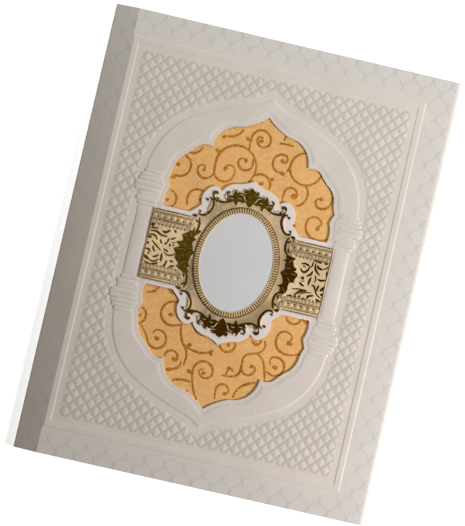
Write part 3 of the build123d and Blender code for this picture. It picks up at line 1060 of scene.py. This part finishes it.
left_strokes = (
    (1.3, (-45.1, 8.4), (-45.2, 9.6), (-44.9, 10.9)),
    (0.7, (-46.2, 7.6), (-44, 8.1), (-41.8, 8.3)),
    (1.1, (-40, 7.4), (-38, 7.1), (-35.9, 8.7)),
    (0.9, (-34, 9.2), (-33.4, 8.6), (-32.7, 8)),
    (0.9, (-46, 6.3), (-42.8, 6.6), (-40, 5.3), (-36.6, 5.1)),
    (0.8, (-46.2, 4.4), (-43.8, 4.6), (-42.3, 3.8), (-41.4, 2.3)),
    (1.2, (-46.3, 3.2), (-45.3, 3.2), (-44.3, 3.1)),
    (0.7, (-35.9, 4.6), (-35.9, 3.2), (-36.6, 1.6)),
    (1.0, (-37.4, 1.8), (-36.8, 1.5), (-36.3, 1.7)),
    (0.7, (-35.2, 4.2), (-33.6, 4.7), (-32.4, 5.7)),
    (0.4, (-34.3, 3), (-33, 2.8), (-31.7, 3.2)),
    (0.7, (-39.9, 3.2), (-39.4, 2), (-38.6, 0.9)),
    (0.8, (-34.7, 2.1), (-34.6, 1.3), (-34.5, 0.4)),
    (0.6, (-33, 2.3), (-32.9, 1.6), (-33, 0.9)),
    (0.7, (-44, 1.8), (-41.5, -0.3), (-38.3, -2.5)),
    (1.1, (-46.3, 0.2), (-45.7, 0), (-45.1, -0.3)),
    (0.8, (-42.7, -0.8), (-42.3, -2.4), (-41.2, -3.8)),
    (0.8, (-37.4, -1.2), (-36, -1.8), (-34.7, -2.3)),
    (0.6, (-37.2, -2.6), (-34.8, -3.9), (-32.2, -3.4), (-31.3, -2.2)),
    (1.0, (-37.7, -3.6), (-37.4, -5.8), (-37.3, -8)),
    (0.9, (-46.3, -3), (-44.6, -3.1), (-43.4, -4.2)),
    (0.6, (-44.4, -4.2), (-44.3, -5), (-44.6, -5.8)),
    (0.8, (-42, -6.3), (-40.6, -6), (-38.8, -4.6)),
    (1.2, (-46.3, -6.3), (-45, -7.2), (-43.4, -8.2)),
    (0.7, (-43.6, -8), (-41, -8.5), (-38, -6.8)),
    (0.9, (-32.9, -6.2), (-32, -6.6), (-31, -6.8)),
    (0.9, (-36, -10), (-34.9, -8.9), (-34.3, -6.6)),
    (0.9, (-32.5, -10.2), (-31.7, -9), (-29.9, -8.8)),
    (1.0, (-42.2, -10.3), (-40.4, -9.8), (-38.5, -8.6)),
    (0.6, (-46.2, -9.2), (-43.6, -9.9), (-41.6, -10.2)),
)


def mass(points, low, high):
    """A flat-topped leafy mass with its corners a little rounded."""
    return slab(in_turn(rounded(points)), low, high, 0.05)


def mirrored(quarter, side=1):
    """A right-hand outline and its mirror image as one, above (1) or below (-1) the middle."""
    right = np.array(quarter, float)
    whole = np.concatenate([right, right[-2:0:-1] * (-1, 1)])
    return whole * (1, side)


def border_quarter():
    """A quarter of the border strips' work: fine lines, rosettes with dark hearts, rows of beads."""
    bright = [(0.55, (26.8, 17), (36, 17), (46.2, 17))]
    brown = [(0.45, (26.4, height), (36, height), (46.4, height)) for height in (17.7, 12.8)]
    brown += [(0.35, (26.8, 16.4), (36, 16.4), (46.2, 16.4)), (0.5, (46.4, 17.8), (46.5, 9), (46.4, 0))]
    dark = []
    for step in range(rosette_count):
        across = rosette_start + rosette_pitch * step
        between, height = across - rosette_pitch / 2, rosette_line
        bright.append((1.5, (across - 0.9, height), (across, height), (across + 0.9, height)))
        brown.append((0.6, (across - 0.3, height), (across, height), (across + 0.3, height)))
        low = rosette_line - 0.6
        dark.append((0.8, (between - 0.4, low), (between, low), (between + 0.4, low + 0.2)))
    for step in range(bead_count):
        across = bead_start + bead_pitch * step
        low, high = bead_line, bead_line + 1.3
        brown.append((0.8, (across - 0.35, low), (across, low + 0.05), (across + 0.35, low)))
        bright.append((0.8, (across + 0.5, high), (across + 0.9, high), (across + 1.3, high)))
    return bright, dark, brown


def gold_work():
    """The medallion's print in five tones: ground, border strips, bright, dark and brown. The dark tone is
    painted reflection of the gold foil, and the bright strokes on the scrolls and leaves are painted
    highlights.
    """
    bright, dark, brown = (four_ways(rows) for rows in border_quarter())
    ground = in_turn(four_quarters(np.array(ground_quarter, float)))
    grounds = [slab(ground, print_foot, ground_rise, 0.08)]
    strips, lights = [], []
    for end in (-1, 1):
        far = end * strap_half_width
        for side in (-1, 1):
            near = (end * strip_start, side * (strap_half_height - strip_height))
            strips.append(slab(rectangle(near, (far, side * strap_half_height)), print_foot, strip_rise, 0.1))
        panel = rectangle((end * panel_start, -panel_half_height), (far, panel_half_height))
        lights.append(slab(panel, print_foot, ground_rise + hair, 0.08))
    # Painted highlights and glints in the bright gold, beside the dark scrolls and on the leaves
    lights += strokes(four_ways(scroll_highlights), ground_rise + 0.1, 0.2, foot=0.0)
    lights += strokes(bright, strip_rise) + strokes(four_ways(leaf_glints), mass_rise, 0.1, 0.9)
    masses = (mirrored(leaf_mass), mirrored(leaf_mass, -1), right_mass, left_mass)
    # Painted reflection: the leafy masses and the scroll and panel strokes are made in the dark gold
    dark_reflections = [mass(outline, 0.0, mass_rise) for outline in masses]
    dark_reflections += strokes(four_ways(scroll_strokes), ground_rise, 0.2, foot=0.0)
    dark_reflections += strokes(right_strokes + left_strokes, ground_rise + hair, spread=panel_spread)
    dark_reflections += strokes(dark, strip_rise)
    veins = strokes(mass_veins, mass_rise, 0.1, 0.8) + strokes(brown, strip_rise)
    return [joined(shapes) for shapes in (grounds, strips, lights, dark_reflections, veins)]


# The swirls printed on the lining: start, heading, and tangent arcs of radius and turn
upper_swirls = (
    (-6.3, 57.2, 95, ((40, -10), (4.9, -180), (3.4, -180), (1.4, -150))),
    (-3.1, 41.4, 50, ((10.3, 220), (200, 1.2), (5.2, 180), (30, 1.8), (2.8, 165), (0.8, 120))),
    (-3.1, 54.3, -84, ((60, -3.5), (3.7, -185), (2.0, -150), (0.8, -90))),
    (-21.3, 42.0, -95, ((4.1, -185), (1.9, -150), (0.7, -60))),
    (-29.4, 53.6, -100, ((5.2, -75), (10, -14))),
    (-37.2, 47.4, -15, ((5.6, -170), (12, 10))),
    (-40.5, 28.5, -5, ((4.4, -140),)),
    (-24.2, 31.6, 155, ((5.0, 115), (12, 20))),
    (-11.3, 67, -105, ((7, -80),)),
    (8, 64.2, 5, ((60, -7),)),
    (10.6, 68.5, -110, ((6, 25),)),
    (14.2, 49.4, 178, ((100, -1.7), (4.7, -180), (2.2, -150), (0.9, -100))),
    (15.6, 54.5, -80, ((5, -45),)),
    (24.5, 62.5, 178, ((8.2, 262),)),
    (25.5, 46.2, -40, ((6.5, -125),)),
    (15.9, 35.2, 97, ((22, -14), (3.3, -190), (1.3, -150))),
    (40.3, 43.7, -85, ((60, -2.4), (4.6, -100), (3.2, -80), (1.6, -150))),
    (42.8, 22.3, -142, ((9, -48), (6.6, -95), (3.9, -135), (1.6, -120))),
    (-0.7, 45.2, 45, ((5.2, -150),)),
)
lower_swirls = (
    (-19.6, -36.2, -143, ((9, -42), (6.0, -190))),
    (-40, -41, -41, ((22, -24), (4.7, 250), (2.3, 80))),
    (-41.5, -32.2, -15, ((4.4, -150),)),
    (-35.2, -20, -100, ((5, -85),)),
    (-22.5, -59.8, -2, ((9, 30), (4, 75))),
    (-24.6, -53.8, 95, ((3.3, -190), (1.3, -150))),
    (-19.8, -37, -88, ((16, 40), (7, -45), (60, -4))),
    (-15.7, -46.6, -25, ((18, 27), (9, 45))),
    (1.2, -42.3, -70, ((4, 190),)),
    (-4, -71.7, 127, ((25, -36), (5.0, -170), (3.5, -170), (1.4, -140))),
    (5.5, -56.9, 3, ((60, 4.7), (4.5, 80), (60, 5), (3.5, -75), (100, 2.5), (4.5, 105))),
    (20.8, -42.6, -15, ((6, -50), (30, -20))),
    (14.2, -48, -88, ((60, 2.5), (3.6, 170), (1.5, 170))),
    (27.5, -50, -42, ((5, 45), (4.7, 200), (2.2, 120))),
    (42.3, -37.3, -145, ((12, -42), (6.3, -105), (4.0, -115), (2.2, -130))),
    (4.8, -69.3, 105, ((14, -22), (3.2, -160), (1.3, -120))),
    (13.7, -66.7, 90, ((9, -60), (30, -10))),
    (31, -20.8, -75, ((3.9, 155),)),
    (-18, -64.7, 25, ((14, -38),)),
    (-30, -20, -75, ((3, 55), (10, 5))),
    (39.3, -20, -50, ((8, 25),)),
    (7.7, -56.5, 95, ((6, -30), (1.2, -150))),
    (16.6, -36, -80, ((2.4, 150), (1, 90))),
    (-13.8, -35, -75, ((6, 70), (4, 40))),
)

# Short thick ends and thorns of the swirls, each from one place to another
swirl_ends = (
    (-25.6, 27.4, -23.6, 27.0), (-41.8, 23.4, -40.0, 23.6), (-40.4, 41.4, -39.0, 42.8),
    (-41.8, 34.6, -39.6, 35.9), (-27.0, 42.8, -25.4, 42.2), (-16.6, 46.0, -14.6, 45.4),
    (-7.0, 52.4, -6.0, 51.3), (-2.8, 62.6, 0, 63.4), (-22.8, 54.2, -20.4, 52.4),
    (-9.0, 63.6, -7.2, 61.8), (-20.8, 60.2, -19.4, 62.0), (10.6, 55.2, 12.4, 56.2),
    (11.6, 50.0, 14.0, 48.8), (2.2, 41.7, 4.9, 42.3), (7.6, 45.0, 9.4, 45.8),
    (19.6, 39.1, 22.2, 40.6), (34.4, 41.8, 35.7, 40.6), (35.8, 25.3, 37.4, 27.0),
    (23.8, 25.4, 25.0, 24.2), (-27.5, -33.0, -24.6, -32.6), (-31.6, -45.8, -29.0, -46.4),
    (-20.8, -54.2, -18.7, -54.0), (-4.6, -58.4, -2.4, -57.4), (-12.0, -58.1, -9.3, -59.2),
    (-2.6, -46.0, -2.0, -48.6), (-22.6, -60.3, -19.4, -59.5), (-15.0, -46.2, -12.6, -45.3),
    (-41.8, -36.0, -40.8, -37.0), (34.2, -34.3, 37.0, -33.5), (18.6, -48.8, 20.4, -49.5),
    (7.6, -53.2, 9.2, -52.2), (8.1, -65.9, 10.4, -65.3), (29.6, -47.0, 32.3, -47.3),
    (17.4, -37.2, 19.9, -38.3), (4.6, -41.3, 6.4, -41.3), (-10.2, -68.6, -9.2, -68.9),
)


def swirls():
    """Thin raised strokes on the lining, a little wider in the middle of their length."""
    shapes = []
    base = lining_top - 0.01
    for across, along, heading, arcs in upper_swirls + lower_swirls:
        path = arc_chain((across, along), heading, arcs)
        share = np.linspace(0, 1, len(path))
        widths = swirl_width + 0.4 * np.sin(np.pi * share) + 0.15 * np.sin(9 * share + across)
        shapes.append(ribbon(path, widths, swirl_rise, base, 5))
    share = np.linspace(0, 1, 7)
    for row in swirl_ends:
        path = np.outer(1 - share, row[:2]) + np.outer(share, row[2:])
        shapes.append(ribbon(path, end_width * (0.5 + 0.5 * np.sin(np.pi * share)), swirl_rise, base, 5))
    return joined(shapes)


def lining():
    """The flat sheet behind the windows."""
    half = np.array((window_half_width, window_apex)) + lining_overlap
    return slab(rectangle(-half, half), -sheet - lining_thickness, lining_top, 0.03)


def lit_edge_liner():
    """The inner paper of the back panel, which shows past the front's free edge, paler than the card as a
    painted highlight of the lit cut edge.
    """
    right, half_y = card_width / 2 - 0.05, card_height / 2 - 0.4
    left = right - back_overhang - liner_reach
    return box((left, -half_y, sheet - 0.01), (right, half_y, sheet + liner_thickness))


def leaves():
    """A closed stack of leaves on the back panel, each a thin slab a little off from the next."""
    thick = (leaves_thickness - (leaf_count - 1) * leaf_gap) / leaf_count
    left = fold_x + leaves_from_fold
    shapes = []
    for index in range(leaf_count):
        low, inset = sheet + index * (thick + leaf_gap), leaf_step * index
        half_y = card_height / 2 - leaves_inset - inset
        shapes.append(box((left, -half_y, low), (leaves_right - inset, half_y, low + thick)))
    return joined(shapes)


# The pieces


groove_shaded, printed, foil_shaded = ("groove", groove_shade_mark), ("margin", margin_mark), ("foil_shade", foil_shade_mark)
# The groove marks carry painted shade into the diamonds' grooves and the capitals' joints
made_piece("front_panel", front_panel(), pearl, "cover", (groove_shaded, printed))
made_piece("fold_and_back", fold_and_back(), pearl, "cover", (printed,))
made_piece("arch_plate", arch_plate(), pearl, "cover")
made_piece("columns_and_capitals", columns_and_capitals(), pearl, "cover",
           (("groove", joint_shade_mark),))
made_piece("medallion_bridge", slab(bridge_outline(), -sheet, hair), pearl_plain, "cover")
tones = (("gold_grounds", gold_ground), ("gold_strips", gold_strip), ("gold_lights", gold_cream),
         ("gold_dark_reflections", gold_dark_reflection), ("gold_veins", gold_brown))
for (piece_name, tone), shape in zip(tones, gold_work()):
    made_piece(piece_name, shape, tone, "cover", (foil_shaded,))

# The collar round the oval. Each ring's section is a list of shares inwards and heights
collar_inner = np.array(collar_outer) - collar_width
hem_outer, lip_inner = np.array(collar_outer) + hem_width, collar_inner - lip_width
collar_section = ((0, collar_foot), (0, collar_rise - 0.2), (0.1, collar_rise), (0.9, collar_rise),
                  (1, collar_rise - 0.15), (1, collar_foot))
hem_section = ((0, collar_foot), (0.2, 0.42), (1, 0.42), (1, collar_foot))
lip_section = ((0, collar_foot), (0, 0.7), (0.3, 0.78), (0.8, 0.76), (1, 0.66), (1, collar_foot))
collar_work = (
    ("collar", oval_ring(collar_outer, collar_inner, collar_section), gold_brown),
    ("collar_hem", oval_ring(hem_outer, collar_outer, hem_section), gold_brown),
    ("collar_ridges", collar_ridges(), gold_ridge),
    ("collar_lip", oval_ring(collar_inner, lip_inner, lip_section), gold_cream),
)
for piece_name, shape, tone in collar_work:
    made_piece(piece_name, shape, tone, "cover")
oval = slab(ellipse(*collar_inner), collar_foot, oval_height)
made_piece("oval_place", oval, oval_pearl, "cover")
made_piece("lit_edge_liner", lit_edge_liner(), lit_edge_cream, "cover")
made_piece("window_lining", lining(), peach, "window_lining")
made_piece("lining_swirls", swirls(), glitter, "window_lining")
made_piece("inner_leaves", leaves(), leaf_white, "inner_leaves")


# Floor, light and camera


def floor():
    """A pale plane under the card."""
    mesh = bpy.data.meshes.new("floor")
    mesh.from_pydata([(-3, -3, 0), (3, -3, 0), (3, 3, 0), (-3, 3, 0)], [], [[0, 1, 2, 3]])
    plane = placed("floor", mesh)
    ground = plain("floor", (0.9, 0.9, 0.9), 0.9)
    shader = ground.node_tree.nodes["Principled BSDF"]
    shader.inputs["Emission Color"].default_value = (1, 1, 1, 1)
    shader.inputs["Emission Strength"].default_value = floor_glow
    mesh.materials.append(ground)


def lamp(name, azimuth, elevation, distance, size, energy, colour):
    """A square soft light that faces the card's middle. Angles are in degrees, lengths in metres."""
    light = bpy.data.lights.new(name, "AREA")
    light.size, light.energy, light.color = size, energy, colour
    holder = placed(name, light)
    turn, rise = math.radians(azimuth), math.radians(elevation)
    flat = distance * math.cos(rise)
    holder.location = (flat * math.cos(turn), flat * math.sin(turn), distance * math.sin(rise))
    holder.rotation_euler = (0, math.pi / 2 - rise, turn)


def lights():
    """A soft light low on the right, a weaker one beyond the top edge, and a dim orange-tinted room."""
    lamp("key", -14, 21.5, 0.6, 0.08, 5.2, (0.965, 0.96, 1.0))
    lamp("sky", 94, 31, 0.5, 0.3, 1.4, (0.915, 0.978, 1.0))
    world = bpy.data.worlds.new("room")
    bpy.context.scene.world = world
    world.use_nodes = True
    background = world.node_tree.nodes["Background"].inputs
    background["Color"].default_value = room_colour
    background["Strength"].default_value = room_strength


def camera():
    """The photograph's view, from above and a little turned."""
    lens = bpy.data.cameras.new("camera")
    lens.sensor_width = sensor_width
    lens.lens = sensor_width * focal_pixels / image_height
    lens.clip_start, lens.clip_end = 0.01, 20
    eye = placed("camera", lens)
    eye.rotation_euler = np.radians(camera_angles)
    eye.location = np.array(camera_place) * MM
    bpy.context.scene.camera = eye


floor()
lights()
camera()
bpy.context.scene.view_settings.view_transform = "Standard"
